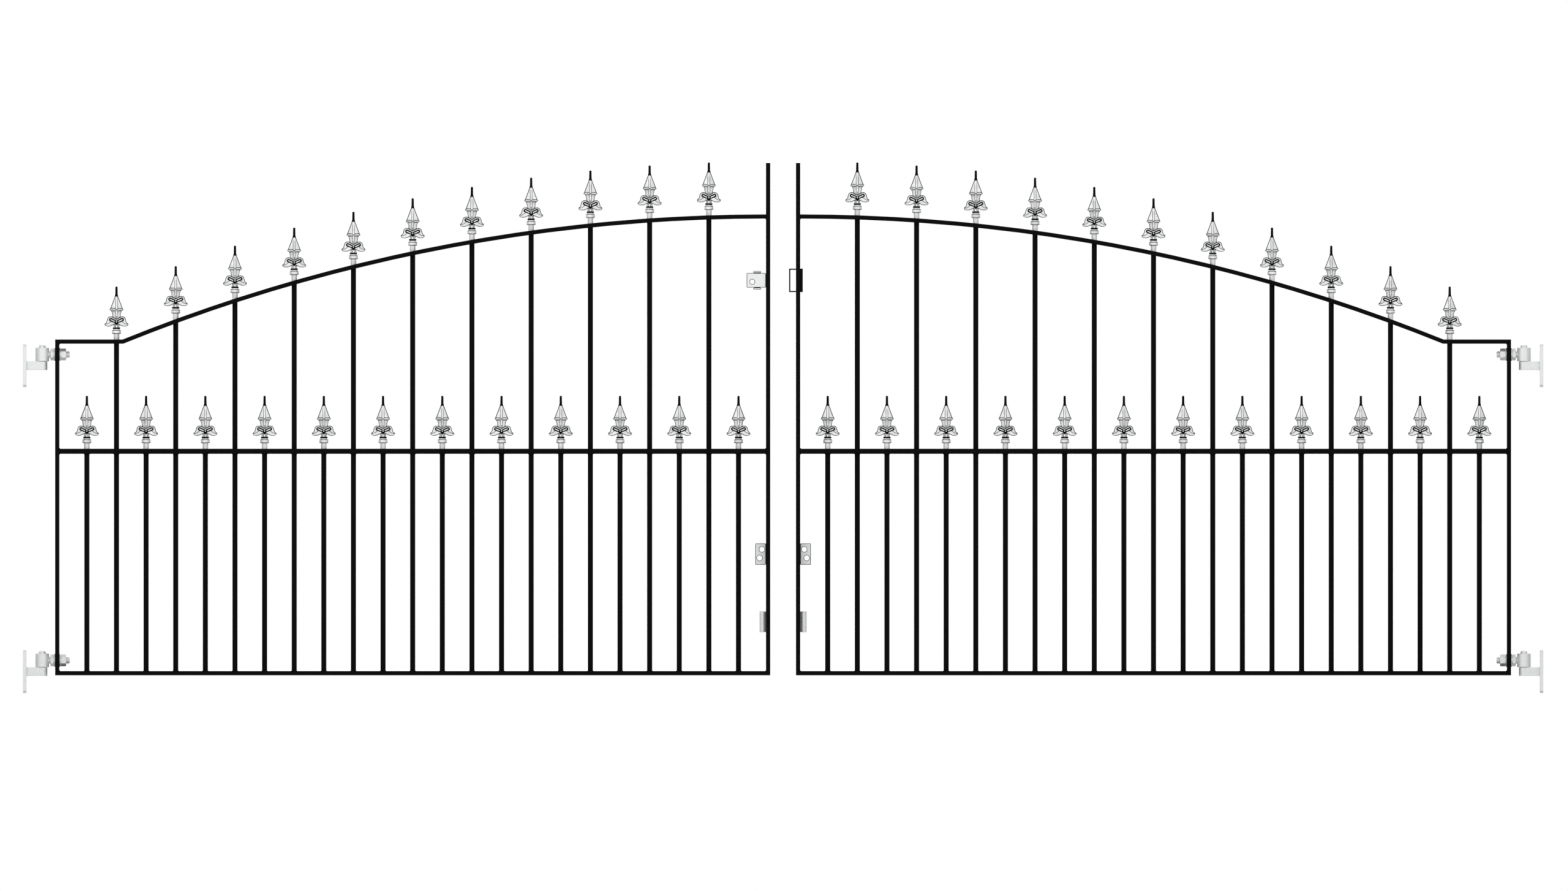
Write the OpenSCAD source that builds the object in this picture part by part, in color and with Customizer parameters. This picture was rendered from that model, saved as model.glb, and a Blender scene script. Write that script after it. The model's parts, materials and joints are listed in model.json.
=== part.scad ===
// Pair of arched driveway gates in flat and round bar, with cast spear finials,
// dog bars, a lock case with its keep, drop bolt guides and pin hinges on wall plates.
// The origin is on the wall face of the lower left plate. X runs across the
// opening, Y from front to back and Z up. One leaf is drawn, and the other mirrors it.

/* [Gate] */
// Width of one leaf over its two stiles
leaf_w = 1670; // [1300:10:2000]
// Clear gap between the two meeting stiles
leaf_gap = 60; // [45:1:100]
// Height of the level shoulder rail, over its top face
shoulder_h = 784; // [700:1:860]
// Height of the arch where it reaches the meeting stile, over its top face
arch_h = 1076; // [1000:1:1150]
// Height of the meeting stile
meeting_stile_h = 1196; // [1160:1:1300]
// Height of the middle rail over its top face
middle_rail_h = 529; // [450:1:570]
// Length of level shoulder past the centre of the first long bar
shoulder_over = 15; // [12:1:40]

/* [Frame] */
// Thickness of the flat bar of the stiles, the bottom rail and the top rail
frame_t = 10; // [8:1:12]
// Depth of the flat bar from front to back
frame_d = 40; // [34:1:50]
// Thickness of the middle rail
middle_rail_t = 12; // [8:1:16]

/* [Bars] */
// Diameter of the round bars
bar_d = 12; // [10:1:14]
// Equal spaces between the stiles of a leaf, an even number
bar_spaces = 24; // [18:2:26]
// Radial clearance of a bar in the holes of the rails
bar_clear = 0.15; // [0.1:0.05:0.4]

/* [Finial casting] */
// Height of a finial over its rail
finial_h = 123; // [114:1:136]
// Length of the neck under the collar
neck_h = 13; // [10:0.5:14]
// Diameter of the collar
collar_d = 21; // [19:1:26]
// Height of the collar
collar_h = 8.5; // [7:0.5:10]
// Rounding of the collar's edges
collar_round = 2; // [1:0.1:3]
// Diameter of the plinth on the collar
plinth_d = 17.2; // [15:0.1:18]
// Height of the plinth
plinth_h = 4; // [2:0.5:5]
// Diameter over the flutes of the stem
stem_d = 13.4; // [12:0.1:15]
// Number of flutes round the stem
stem_flutes = 8; // [6:2:8]
// Spread of the two drooping fronds from tip to tip
fronds_w = 54; // [48:1:62]
// Depth of the fronds at the stem from front to back
fronds_d = 10; // [9:0.5:12]
// Depth of a frond at its tip
frond_tip_d = 3; // [2:0.5:4]
// Depth of the folded front of the fronds beyond the fronds themselves, on each face
fold_d = 1.6; // [1:0.1:2.5]
// Height of the lowest edge of the fronds over the rail
frond_droop_h = 29.7; // [28.5:0.1:31]
// Height of the tips of the fronds over the rail
frond_tip_h = 35; // [33:0.5:37]
// Height at which the fronds leave the stem
frond_root_h = 36.5; // [35:0.5:38]
// Height of the crest of the fronds over the rail
frond_crest_h = 53; // [51:0.5:55]
// Width of the rolled petals that cross the fronds
petal_w = 7.2; // [6:0.2:7.6]
// Reach of a rolled petal from the middle of the stem, along the petal
petal_len = 19; // [16:0.5:20]
// Slope of the rolled petals
petal_slope = 25; // [20:1:35]
// Height at which the middle lines of the two rolled petals meet
petal_root_h = 40; // [38:0.5:41]
// Depth over the rolled petals from front to back
petals_d = 16.4; // [15:0.2:18]
// Height of the straight waist of the blade over the rail
waist_h = 56; // [55:0.5:60]
// Length of blade that is sunk between the fronds
blade_sink = 8; // [7:0.5:10]
// Width of the blade where it grows out of the fronds
blade_root_w = 18.6; // [16:0.2:22]
// Width over the crosspiece of the blade
cross_w = 32.4; // [30:0.2:37]
// Height of the middle of the crosspiece over the rail
cross_h = 69.4; // [67:0.1:73]
// Height of the bevelled band of the crosspiece
cross_band = 5; // [4:0.5:7]
// Inset of the blade from the ends of the crosspiece, just over its band
cross_over_in = 2; // [1:0.5:3]
// Inset of the blade from the ends of the crosspiece, just under its band
cross_under_in = 3; // [1:0.5:4]
// Depth of the blade at the crosspiece
blade_d = 17; // [14:0.5:20]
// Width of the rib down the middle of the blade
rib_w = 4; // [3:0.2:5]
// Width of the blunt tip of the blade
tip_w = 4.2; // [3:0.2:5]

/* [Lock and keep] */
// Width of the lock case out from the meeting stile
lock_w = 45; // [42:1:55]
// Height of the lock case
lock_h = 34; // [30:1:44]
// Depth of the lock case
lock_d = 30; // [24:1:34]
// Height of the underside of the lock case on the leaf
lock_z = 905; // [860:1:920]
// Diameter of the spindle hole through the lock case
spindle_d = 11; // [8:0.5:13]
// Distance of the spindle from the meeting stile
spindle_x = 32; // [26:0.5:33]
// Height of the spindle over the underside of the lock case
spindle_z = 13.5; // [10:0.5:18]
// Width of the fixing lugs over and under the lock case
lug_w = 18; // [12:1:20]
// Height of a fixing lug
lug_h = 4.5; // [3:0.5:8]
// Depth of a fixing lug
lug_d = 20; // [14:1:24]
// Distance of the lugs from the meeting stile
lug_x = 11.5; // [8:0.5:15]
// Height of the slots that the lock's bolt passes
bolt_slot_h = 24; // [18:1:28]
// Depth of the slots that the lock's bolt passes
bolt_slot_d = 12; // [10:1:16]
// Reach of the keep out of the other meeting stile
keep_reach = 16; // [12:1:20]
// Height of the keep
keep_h = 55; // [48:1:64]
// Wall of the keep
keep_t = 3; // [2:0.5:4]
// Thickness of the plate that backs the keep
keep_back_t = 6; // [4:0.5:8]

/* [Drop bolts] */
// Diameter of the holes that the drop bolt slides in
drop_bore_d = 12.5; // [10:0.5:13]
// Outside diameter of the guide tube
guide_d = 15; // [14.5:0.5:18]
// Length of the guide tube
guide_h = 48; // [40:1:70]
// Height of the lower end of the guide tube
guide_z = 101; // [80:1:150]
// Gap between the guide tube and the stile that it is welded to
guide_gap = 0.1; // [0.05:0.05:0.3]
// Width of the hold plate out from the meeting stile
hold_w = 25; // [23:1:32]
// Height of the hold plate
hold_h = 50; // [46:1:64]
// Thickness of the hold plate
hold_t = 6; // [4:1:8]
// Height of the lower edge of the hold plate
hold_z = 258; // [220:1:300]
// Diameter of the two holes in the hold plate
hold_hole_d = 12; // [10:0.5:13]
// Distance of the upper hole from the stile
hold_upper_x = 9.5; // [9:0.5:11]
// Distance of the upper hole from the upper edge
hold_upper_in = 14; // [10:0.5:15]
// Distance of the lower hole from the stile
hold_lower_x = 15; // [12:0.5:15.5]
// Distance of the lower hole from the lower edge
hold_lower_in = 16; // [10:0.5:16]

/* [Hinges] */
// Distance of the hinge centres from the ends of the hanging stile
hinge_inset = 35; // [32:1:60]
// Distance from the hinge axis to the leaf
hinge_reach = 30; // [29:1:40]
// Diameter of the hinge pin
pin_d = 16; // [12:1:16]
// Radial play of the eye on the pin
pin_play = 0.1; // [0.05:0.01:0.1]
// Height of the pin over the eye
pin_over = 6; // [4:1:10]
// Outside diameter of the eye
eye_d = 32; // [26:1:32]
// Height of the eye
eye_h = 32; // [26:1:36]
// Diameter of the threaded shank
shank_d = 16; // [12:1:16]
// Radial clearance of the shank in the stile
shank_clear = 0.5; // [0.3:0.1:1]
// Length of shank inside the stile
shank_tail = 24; // [20:1:32]
// Width across the flats of the nuts
nut_flats = 24; // [22:1:26]
// Thickness of the thin nut outside the stile
thin_nut_t = 8; // [6:0.5:9]
// Thickness of the full nut inside the stile
full_nut_t = 13; // [10:0.5:14]
// Radial clearance of the nuts and washers on the shank
nut_clear = 0.15; // [0.1:0.05:0.4]
// Diameter of the washers
washer_d = 30; // [26:1:34]
// Thickness of the washers
washer_t = 3; // [2:0.5:4]

/* [Wall plates] */
// Distance from the wall to the hinge axis
wall_reach = 45; // [40:1:70]
// Width of a wall plate
plate_w = 40; // [36:1:60]
// Height of a wall plate
plate_h = 100; // [96:1:120]
// Thickness of a wall plate
plate_t = 8; // [6:1:10]
// Corner cut of a wall plate
plate_corner = 5; // [3:1:8]
// Diameter of the bolt holes
plate_bolt_d = 11; // [9:0.5:13]
// Distance between the two bolt holes
plate_bolt_pitch = 70; // [60:1:78]
// Height of the arm that carries the pin
arm_h = 20; // [16:1:24]
// Width of the arm
arm_w = 24; // [20:1:30]
// Running gap between the arm and the eye
eye_gap = 0.3; // [0.2:0.1:0.5]

/* [Hidden] */
$fn = 64;
arch_fn = 720;
cut = 1;
iron = "#16171a";
casting = "#d6d7d8";
plated = "#c3c6c9";

// Places on one leaf, measured from the foot of its hanging stile
hinge_z = [hinge_inset, shoulder_h - hinge_inset];
meeting_x = leaf_w - frame_t;
pitch = (leaf_w - frame_t) / bar_spaces;
dog_bars = [for (i = [1 : 2 : bar_spaces - 1]) frame_t / 2 + i * pitch];
long_bars = [for (i = [2 : 2 : bar_spaces - 2]) frame_t / 2 + i * pitch];
lock_mid_z = lock_z + lock_h / 2;
drop_x = meeting_x - guide_gap - guide_d / 2;

// The arch is an arc that is level where it meets the meeting stile
shoulder_len = long_bars[0] + shoulder_over;
arch_run = meeting_x - shoulder_len;
arch_rise = arch_h - shoulder_h;
arch_r = (arch_run * arch_run + arch_rise * arch_rise) / (2 * arch_rise);
arch_mid_z = arch_h - frame_t / 2 - arch_r;
arch_over_r = arch_r + frame_t / 2;
arch_under_r = arch_r - frame_t / 2;
function reach_at(r, z) = sqrt(r * r - pow(z - arch_mid_z, 2));
kink_under_x = meeting_x - reach_at(arch_under_r, shoulder_h - frame_t);
kink_over_x = meeting_x - reach_at(arch_over_r, shoulder_h);
function on_arch(x) = x > kink_over_x;
function rail_top(x) =
    on_arch(x) ? arch_mid_z + sqrt(pow(arch_over_r, 2) - pow(meeting_x - x, 2)) : shoulder_h;
function rail_slope(x) = on_arch(x) ? asin((meeting_x - x) / arch_over_r) : 0;

// Place of the leaves in the opening
opening_w = 2 * (wall_reach + hinge_reach + leaf_w) + leaf_gap;
leaf_z = arm_h / 2 + eye_gap + eye_h / 2 - hinge_inset;

// Heights on the finial over its rail
collar_z = neck_h;
plinth_z = collar_z + collar_h;
stem_z = plinth_z + plinth_h;
stem_top_z = frond_root_h + petal_w / 3;
blade_z = frond_crest_h - blade_sink;

SIDES = ["left", "right"];
LEAF_PIECES = [
    "hanging_stile", "meeting_stile", "bottom_rail", "middle_rail", "top_rail",
    "long_bars", "dog_bars", "long_bar_finials", "dog_bar_finials",
    "upper_hinge_eye", "lower_hinge_eye", "hinge_nuts", "hinge_washers",
    "drop_bolt_guide", "drop_bolt_hold_plate",
    "upper_wall_plate", "lower_wall_plate"
];
NODES = concat(
    [for (side = SIDES) for (piece = LEAF_PIECES) str(side, "_", piece)],
    ["left_lock_case", "left_lock_lugs", "right_lock_keep", "right_keep_backing"]
);
node = "all";

// Frame of a leaf

module hanging_stile() {
    color(iron)
    difference() {
        translate([0, -frame_d / 2, frame_t]) cube([frame_t, frame_d, shoulder_h - 2 * frame_t]);
        for (z = hinge_z)
            along_x(-cut, z) cylinder(d = shank_d + 2 * shank_clear, h = frame_t + 2 * cut);
    }
}

module meeting_stile(with_slot) {
    color(iron)
    difference() {
        translate([meeting_x, -frame_d / 2, frame_t]) cube([frame_t, frame_d, meeting_stile_h - frame_t]);
        if (with_slot) bolt_slot(meeting_x - cut, frame_t + 2 * cut);
    }
}

module bottom_rail() {
    color(iron)
    difference() {
        translate([0, -frame_d / 2, 0]) cube([leaf_w, frame_d, frame_t]);
        translate([drop_x, 0, -cut]) cylinder(d = drop_bore_d, h = frame_t + 2 * cut);
    }
}

module middle_rail() {
    color(iron)
    difference() {
        translate([frame_t, -frame_d / 2, middle_rail_h - middle_rail_t])
            cube([meeting_x - frame_t, frame_d, middle_rail_t]);
        for (x = concat(dog_bars, long_bars)) bar_hole(x, middle_rail_h - middle_rail_t / 2, middle_rail_t);
    }
}

module top_rail() {
    color(iron)
    difference() {
        rotate([90, 0, 0]) linear_extrude(frame_d, center = true) top_rail_side();
        for (x = long_bars) bar_hole(x, rail_top(x) - frame_t / 2, 3 * frame_t);
    }
}

// Side view of the top rail: a level shoulder, then the arch up to the meeting stile
module top_rail_side() {
    translate([0, shoulder_h - frame_t]) square([kink_under_x, frame_t]);
    intersection() {
        translate([meeting_x, arch_mid_z])
        difference() {
            circle(r = arch_over_r, $fn = arch_fn);
            circle(r = arch_under_r, $fn = arch_fn);
        }
        translate([0, shoulder_h - frame_t]) square([meeting_x, arch_rise + 2 * frame_t]);
    }
}

module bar_hole(x, mid_z, thick) {
    translate([x, 0, mid_z]) cylinder(d = bar_d + 2 * bar_clear, h = thick + 2 * cut, center = true);
}

// Bars and finials of a leaf

module bars_to_arch() {
    color(iron)
    for (x = long_bars)
        difference() {
            translate([x, 0, frame_t]) cylinder(d = bar_d, h = rail_top(x) + bar_d - frame_t);
            at_rail_top(x) translate([0, 0, bar_d]) cube([4, 2, 2] * bar_d, center = true);
        }
}

module bars_to_middle_rail() {
    color(iron)
    for (x = dog_bars)
        translate([x, 0, frame_t]) cylinder(d = bar_d, h = middle_rail_h - frame_t);
}

module finials_on_arch() {
    color(casting)
    for (x = long_bars)
        difference() {
            translate([x, 0, rail_top(x)]) finial(bar_d / 2);
            at_rail_top(x) translate([0, 0, -bar_d]) cube([4, 2, 2] * bar_d, center = true);
        }
}

module finials_on_middle_rail() {
    color(casting)
    for (x = dog_bars)
        translate([x, 0, middle_rail_h]) finial(0);
}

module at_rail_top(x) {
    translate([x, 0, rail_top(x)]) rotate([0, -rail_slope(x), 0]) children();
}

// One finial casting on the end of a bar, with spare neck below for a sloping cut
module finial(spare_neck) {
    translate([0, 0, -spare_neck]) cylinder(d = bar_d, h = neck_h + spare_neck + collar_h / 2);
    finial_collar();
    finial_stem();
    finial_fronds();
    rolled_petal();
    mirror([1, 0, 0]) rolled_petal();
    finial_blade();
}

function arc_points(mid, r, from, to, steps) =
    [for (i = [0 : steps]) let (a = from + (to - from) * i / steps) mid + r * [cos(a), sin(a)]];

module finial_collar() {
    r = collar_d / 2 - collar_round;
    rotate_extrude()
    polygon(concat(
        [[0, collar_z]],
        arc_points([r, collar_z + collar_round], collar_round, -90, 0, 3),
        arc_points([r, plinth_z - collar_round], collar_round, 0, 90, 3),
        [[plinth_d / 2, plinth_z], [plinth_d / 2, stem_z], [0, stem_z]]
    ));
}

module finial_stem() {
    flute_r = stem_d / 5;
    translate([0, 0, plinth_z + plinth_h / 2])
    linear_extrude(stem_top_z - plinth_z - plinth_h / 2) {
        circle(d = stem_d - 2 * flute_r + cut);
        for (i = [0 : stem_flutes - 1])
            rotate(90 + i * 360 / stem_flutes) translate([stem_d / 2 - flute_r, 0]) circle(r = flute_r);
    }
}

// Point at t on the cubic curve from p[0] to p[3] with the handles p[1] and p[2]
function bezier(p, t) =
    p[0] * pow(1 - t, 3) + p[1] * 3 * t * pow(1 - t, 2) + p[2] * 3 * t * t * (1 - t) + p[3] * pow(t, 3);
function curve(p, steps) = [for (i = [1 : steps]) bezier(p, i / steps)];

// Edges of the right frond, with their handles at shares of its reach and of its rise from tip to crest
frond_x = fronds_w / 2;
frond_rise = frond_crest_h - frond_tip_h;
frond_tip = [frond_x, frond_tip_h];
function on_frond(across, up) = [across * frond_x, frond_tip_h + up * frond_rise];

// From the stem down along the belly of the frond and out to its tip
function frond_underside() =
    let (root = [stem_d / 4, frond_root_h], low = frond_droop_h, belly = [0.64 * frond_x, low])
    concat(
        [root],
        curve([root, [0.3 * frond_x, (root.y + low) / 2], [0.45 * frond_x, low], belly], 4),
        curve([belly, [0.8 * frond_x, low], [0.93 * frond_x, (2 * low + frond_tip_h) / 3], frond_tip], 4)
    );

// From the tip of the frond up over its crest and down to the dip in the middle
function frond_upper() =
    let (back = on_frond(0.78, 0.56), brow = on_frond(0.4, 0.99), dip = on_frond(0, 0.67))
    concat(
        curve([frond_tip, on_frond(0.87, 0.07), on_frond(0.8, 0.27), back], 4),
        curve([back, on_frond(0.75, 0.89), on_frond(0.6, 1.05), brow], 4),
        curve([brow, on_frond(0.28, 0.96), on_frond(0.12, 0.72), dip], 3)
    );

// From the tip of the frond back along its fold to its rolled petal
function frond_fold() = curve([frond_tip, on_frond(0.72, -0.04), on_frond(0.55, 0.2), on_frond(0.4, 0.48)], 5);

function with_mirror(right) =
    concat(right, [for (i = [len(right) - 1 : -1 : 0]) if (right[i].x > 0) [-right[i].x, right[i].y]]);

module finial_fronds() {
    flared_fronds(concat(frond_underside(), frond_upper()), fronds_d, frond_tip_d);
    flared_fronds(concat(frond_underside(), frond_fold()), fronds_d + 2 * fold_d, frond_tip_d + fold_d);
}

// Both fronds in one piece, deep at the stem and thin at the tips
module flared_fronds(right_edge, stem_depth, tip_depth) {
    deep = stem_depth / 2;
    thin = tip_depth / 2;
    end_x = frond_x + cut;
    intersection() {
        rotate([90, 0, 0]) linear_extrude(stem_depth + 2 * cut, center = true) polygon(with_mirror(right_edge));
        linear_extrude(frond_crest_h + frond_rise)
            polygon(with_mirror([[stem_d / 2, deep], [end_x, thin], [end_x, -thin], [stem_d / 2, -deep]]));
    }
}

// One petal rolled up from the stem over the right frond, alike at the front and the back
module rolled_petal() {
    r = petal_w / 2;
    inner_end = r / 3;
    rotate([90, 0, 0])
        linear_extrude(petals_d, center = true)
        translate([0, petal_root_h])
        rotate(petal_slope)
        polygon(concat(
            arc_points([inner_end + r, 0], r, 90, 270, 6),
            arc_points([petal_len - r, 0], r, -90, 90, 6)
        ));
}

// Straight sides up to a needle point, as shares of the height and of the width over the crosspiece
blade_taper = [[0.32, 0.52], [0.57, 0.13], [0.66, 0.05], [1, 0]];

// Eight-sided sections of the blade, as height and half width
blade_edge = 0.8;
function blade_sections() =
    let (
        over = cross_h + cross_band / 2,
        under = cross_h - cross_band / 2,
        root_w = blade_root_w / 2,
        over_w = cross_w / 2 - cross_over_in,
        under_w = cross_w / 2 - cross_under_in,
        tip_half = tip_w / 2
    )
    concat(
        [
            [blade_z, root_w],
            [waist_h, root_w],
            [(waist_h + 2 * under) / 3, (2 * root_w + under_w) / 3],
            [under, under_w],
            [cross_h, cross_w / 2],
            [over, over_w]
        ],
        [for (share = blade_taper)
            [over + (finial_h - over) * share[0], tip_half + (over_w - tip_half) * share[1]]]
    );

// Half depth of a section: its flanks all slope alike, so that each is flat from section to section
flank_slope = (blade_d / 2 - blade_edge) / (cross_w / 2 - rib_w / 2);
function blade_depth(half_w) = max(blade_edge + flank_slope * (half_w - rib_w / 2), tip_w / 2);

// Outline of one section, with a flat rib at the front and back and a narrow flat at each side
function blade_ring(z, w) =
    let (d = blade_depth(w), rib = min(rib_w / 2, 0.8 * w))
    [
        [w, -blade_edge, z], [w, blade_edge, z], [rib, d, z], [-rib, d, z],
        [-w, blade_edge, z], [-w, -blade_edge, z], [-rib, -d, z], [rib, -d, z]
    ];

module finial_blade() {
    rings = [for (s = blade_sections()) blade_ring(s[0], s[1])];
    sides = len(rings[0]);
    last = (len(rings) - 1) * sides;
    polyhedron(
        points = [for (ring = rings) for (p = ring) p],
        faces = concat(
            [[for (i = [0 : sides - 1]) i]],
            [for (r = [0 : len(rings) - 2]) for (i = [0 : sides - 1])
                let (a = r * sides + i, b = r * sides + (i + 1) % sides)
                each [[a, a + sides, b + sides], [a, b + sides, b]]],
            [[for (i = [sides - 1 : -1 : 0]) last + i]]
        )
    );
}

// Lock, keep and drop bolt fittings

module along_x(x, z) {
    translate([x, 0, z]) rotate([0, 90, 0]) children();
}

module bolt_slot(x, length) {
    translate([x, -bolt_slot_d / 2, lock_mid_z - bolt_slot_h / 2]) cube([length, bolt_slot_d, bolt_slot_h]);
}

module lock_case() {
    color(plated)
    difference() {
        translate([meeting_x - lock_w, -lock_d / 2, lock_z]) cube([lock_w, lock_d, lock_h]);
        translate([meeting_x - spindle_x, 0, lock_z + spindle_z])
            rotate([90, 0, 0]) cylinder(d = spindle_d, h = lock_d + 2 * cut, center = true);
    }
}

module lock_lugs() {
    color(plated)
    for (z = [lock_z - lug_h, lock_z + lock_h])
        translate([meeting_x - lug_x - lug_w, -lug_d / 2, z]) cube([lug_w, lug_d, lug_h]);
}

module lock_keep() {
    color(iron)
    difference() {
        translate([leaf_w, -frame_d / 2, lock_mid_z - keep_h / 2]) cube([keep_reach, frame_d, keep_h]);
        translate([leaf_w - cut, -frame_d / 2 - cut, lock_mid_z - keep_h / 2 + keep_t])
            cube([keep_reach - keep_t + cut, frame_d + 2 * cut, keep_h - 2 * keep_t]);
        bolt_slot(leaf_w + keep_reach - keep_t - cut, keep_t + 2 * cut);
    }
}

module keep_backing() {
    color(iron)
    translate([meeting_x - keep_back_t, -frame_d / 2, lock_mid_z - keep_h / 2])
        cube([keep_back_t, frame_d, keep_h]);
}

module drop_bolt_guide() {
    color(plated)
    translate([drop_x, 0, guide_z])
    difference() {
        cylinder(d = guide_d, h = guide_h);
        translate([0, 0, -cut]) cylinder(d = drop_bore_d, h = guide_h + 2 * cut);
    }
}

module drop_bolt_hold_plate() {
    back = frame_d / 2;
    color(plated)
    difference() {
        translate([meeting_x - hold_w, back - hold_t, hold_z]) cube([hold_w, hold_t, hold_h]);
        hold_hole(meeting_x - hold_upper_x, hold_z + hold_h - hold_upper_in);
        hold_hole(meeting_x - hold_lower_x, hold_z + hold_lower_in);
    }
}

module hold_hole(x, z) {
    translate([x, frame_d / 2 + cut, z])
        rotate([90, 0, 0]) cylinder(d = hold_hole_d, h = hold_t + 2 * cut);
}

// Hinges and wall plates

module hinge_eye(z) {
    color(plated)
    translate([0, 0, z])
    difference() {
        union() {
            translate([-hinge_reach, 0, 0]) cylinder(d = eye_d, h = eye_h, center = true);
            along_x(-hinge_reach, 0) cylinder(d = shank_d, h = hinge_reach + frame_t + shank_tail);
        }
        translate([-hinge_reach, 0, 0]) cylinder(d = pin_d + 2 * pin_play, h = eye_h + 2 * cut, center = true);
    }
}

module hinge_nuts() {
    color(plated)
    for (z = hinge_z) {
        nut(-washer_t - thin_nut_t, z, thin_nut_t);
        nut(frame_t + washer_t, z, full_nut_t);
    }
}

module hinge_washers() {
    color(plated)
    for (z = hinge_z) {
        washer(-washer_t, z);
        washer(frame_t, z);
    }
}

module nut(x, z, thick) {
    along_x(x, z)
    difference() {
        cylinder(d = nut_flats / cos(30), h = thick, $fn = 6);
        shank_hole(thick);
    }
}

module washer(x, z) {
    along_x(x, z)
    difference() {
        cylinder(d = washer_d, h = washer_t);
        shank_hole(washer_t);
    }
}

module shank_hole(thick) {
    translate([0, 0, -cut]) cylinder(d = shank_d + 2 * nut_clear, h = thick + 2 * cut);
}

// Plate, arm and pin of one hinge, drawn as the forging that bolts to the wall
module wall_plate(z) {
    arm_top = -eye_h / 2 - eye_gap;
    wall_x = -hinge_reach - wall_reach;
    color(plated)
    translate([0, 0, z])
    difference() {
        union() {
            translate([wall_x, 0, arm_top - arm_h / 2])
                rotate([90, 0, 90]) linear_extrude(plate_t) plate_outline();
            translate([wall_x + plate_t / 2, -arm_w / 2, arm_top - arm_h])
                cube([wall_reach - plate_t / 2, arm_w, arm_h]);
            translate([-hinge_reach, 0, arm_top - arm_h]) cylinder(d = arm_w, h = arm_h);
            translate([-hinge_reach, 0, arm_top - arm_h / 2]) hinge_pin(arm_h / 2 + eye_gap + eye_h + pin_over);
        }
        for (side = [-1, 1])
            along_x(wall_x - cut, arm_top - arm_h / 2 + side * plate_bolt_pitch / 2)
                cylinder(d = plate_bolt_d, h = plate_t + 2 * cut);
    }
}

module plate_outline() {
    w = plate_w / 2;
    h = plate_h / 2;
    c = plate_corner;
    polygon([
        [w - c, -h], [w, -h + c], [w, h - c], [w - c, h],
        [-w + c, h], [-w, h - c], [-w, -h + c], [-w + c, -h]
    ]);
}

module hinge_pin(length) {
    bevel = pin_d / 8;
    cylinder(d = pin_d, h = length - bevel);
    translate([0, 0, length - bevel]) cylinder(d1 = pin_d, d2 = pin_d - 2 * bevel, h = bevel);
}

// Draws a piece of the left leaf in place, or its mirror image on the right leaf
module place(side) {
    if (side == "left")
        translate([wall_reach + hinge_reach, 0, leaf_z]) children();
    else
        translate([opening_w - wall_reach - hinge_reach, 0, leaf_z]) mirror([1, 0, 0]) children();
}

function wanted(side, piece) = node == "all" || node == str(side, "_", piece);

for (side = SIDES) {
    if (wanted(side, "hanging_stile")) place(side) hanging_stile();
    if (wanted(side, "meeting_stile")) place(side) meeting_stile(side == "left");
    if (wanted(side, "bottom_rail")) place(side) bottom_rail();
    if (wanted(side, "middle_rail")) place(side) middle_rail();
    if (wanted(side, "top_rail")) place(side) top_rail();
    if (wanted(side, "long_bars")) place(side) bars_to_arch();
    if (wanted(side, "dog_bars")) place(side) bars_to_middle_rail();
    if (wanted(side, "long_bar_finials")) place(side) finials_on_arch();
    if (wanted(side, "dog_bar_finials")) place(side) finials_on_middle_rail();
    if (wanted(side, "lower_hinge_eye")) place(side) hinge_eye(hinge_z[0]);
    if (wanted(side, "upper_hinge_eye")) place(side) hinge_eye(hinge_z[1]);
    if (wanted(side, "hinge_nuts")) place(side) hinge_nuts();
    if (wanted(side, "hinge_washers")) place(side) hinge_washers();
    if (wanted(side, "drop_bolt_guide")) place(side) drop_bolt_guide();
    if (wanted(side, "drop_bolt_hold_plate")) place(side) drop_bolt_hold_plate();
    if (wanted(side, "lower_wall_plate")) place(side) wall_plate(hinge_z[0]);
    if (wanted(side, "upper_wall_plate")) place(side) wall_plate(hinge_z[1]);
}
if (wanted("left", "lock_case")) place("left") lock_case();
if (wanted("left", "lock_lugs")) place("left") lock_lugs();
if (wanted("right", "lock_keep")) place("right") lock_keep();
if (wanted("right", "keep_backing")) place("right") keep_backing();
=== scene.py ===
# %% [markdown]
# A pair of arched driveway gates
#
# The gates are welded from flat and round iron bar, coated black, with silvered spear castings on
# the bars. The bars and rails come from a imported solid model, so their sizes and places are settled
# before this lesson starts. Here the castings are modelled in full, every surface gets its finish,
# and small things that only show close up are added, such as rubbed edges and weld beads.

import json
import math

import bmesh
import bpy
from mathutils import Matrix, Vector

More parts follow.
